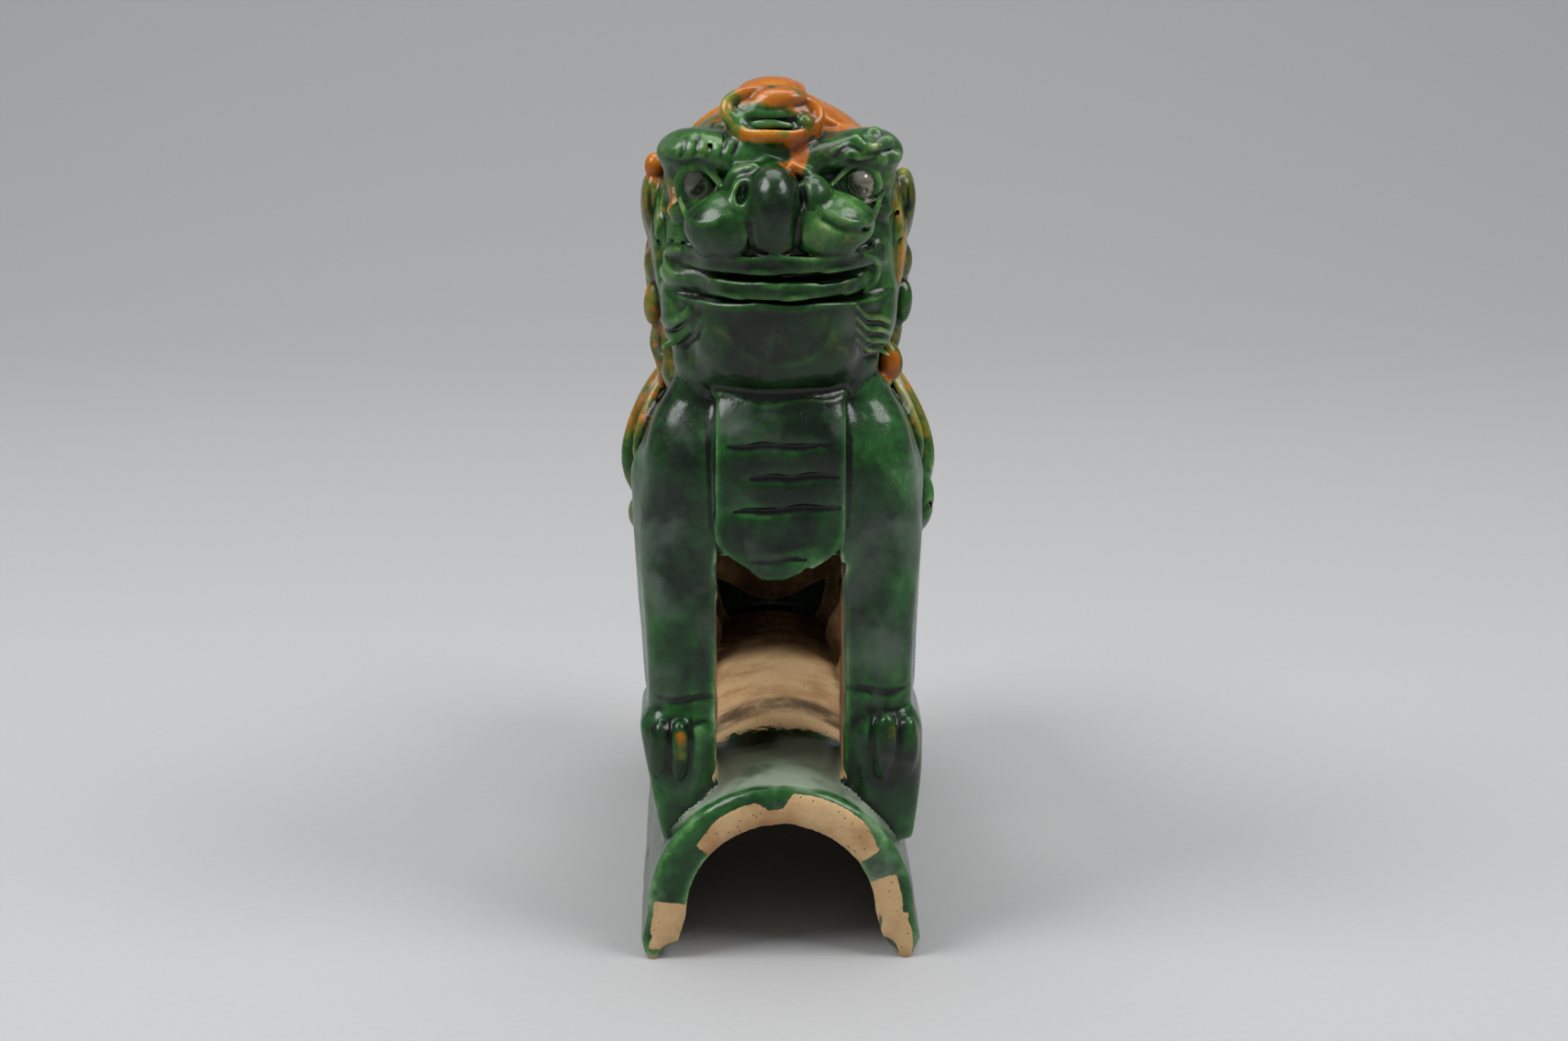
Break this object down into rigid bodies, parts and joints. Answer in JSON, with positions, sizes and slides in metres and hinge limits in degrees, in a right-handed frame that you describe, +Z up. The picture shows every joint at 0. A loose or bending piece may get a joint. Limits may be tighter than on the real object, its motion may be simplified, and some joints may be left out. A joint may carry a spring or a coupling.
{
  "type": "ridge tile guardian lion",
  "caption": "Half-round roof ridge tile with a hollow guardian lion standing astride it, in green and amber glazed earthenware.",
  "frame": {"origin": "on the ground, under the middle of the whole object", "axes": "+Z up; the lion looks along -Y, along the ridge; +X is on the right of someone facing it"},
  "size_m": [0.1116, 0.25, 0.305],
  "materials": {
    "green_glaze": "glossy, pooled and crackled",
    "amber_glaze": "glossy, streaked",
    "eye_glaze": "glossy, dark",
    "tile_clay": "matt fired clay, partly glazed"
  },
  "bodies": {
    "root": {"body_half_left": "green_glaze", "body_half_right": "green_glaze", "brow_left": "green_glaze", "brow_right": "green_glaze", "cheek_fold_left": "green_glaze", "cheek_fold_right": "green_glaze", "chest_bib": "green_glaze", "ear_left": "amber_glaze", "ear_right": "amber_glaze", "elbow_tuft_left": "green_glaze", "elbow_tuft_right": "green_glaze", "eyeball_left": "eye_glaze", "eyeball_right": "eye_glaze", "eyelid_left": "green_glaze", "eyelid_right": "green_glaze", "face_mask": "green_glaze", "forehead_boss": "amber_glaze", "foreleg_left": "green_glaze", "foreleg_right": "green_glaze", "forepaw_left": "green_glaze", "forepaw_right": "green_glaze", "forepaw_toes_left": "green_glaze", "forepaw_toes_right": "green_glaze", "haunch_left": "green_glaze", "haunch_right": "green_glaze", "head_back": "green_glaze", "hind_paw_left": "green_glaze", "hind_paw_right": "green_glaze", "hind_toes_left": "green_glaze", "hind_toes_right": "green_glaze", "lower_jaw": "green_glaze", "mane_cap": "amber_glaze", "muzzle": "green_glaze", "nape_locks": "amber_glaze", "nose": "green_glaze", "ridge_tile": "tile_clay", "shoulder_flame_left": "green_glaze", "shoulder_flame_right": "green_glaze", "side_locks_left": "amber_glaze", "side_locks_right": "amber_glaze", "tail": "green_glaze", "tail_locks": "amber_glaze", "teeth_band": "green_glaze", "topknot": "amber_glaze", "upper_lip": "green_glaze"}
  },
  "joints": []
}
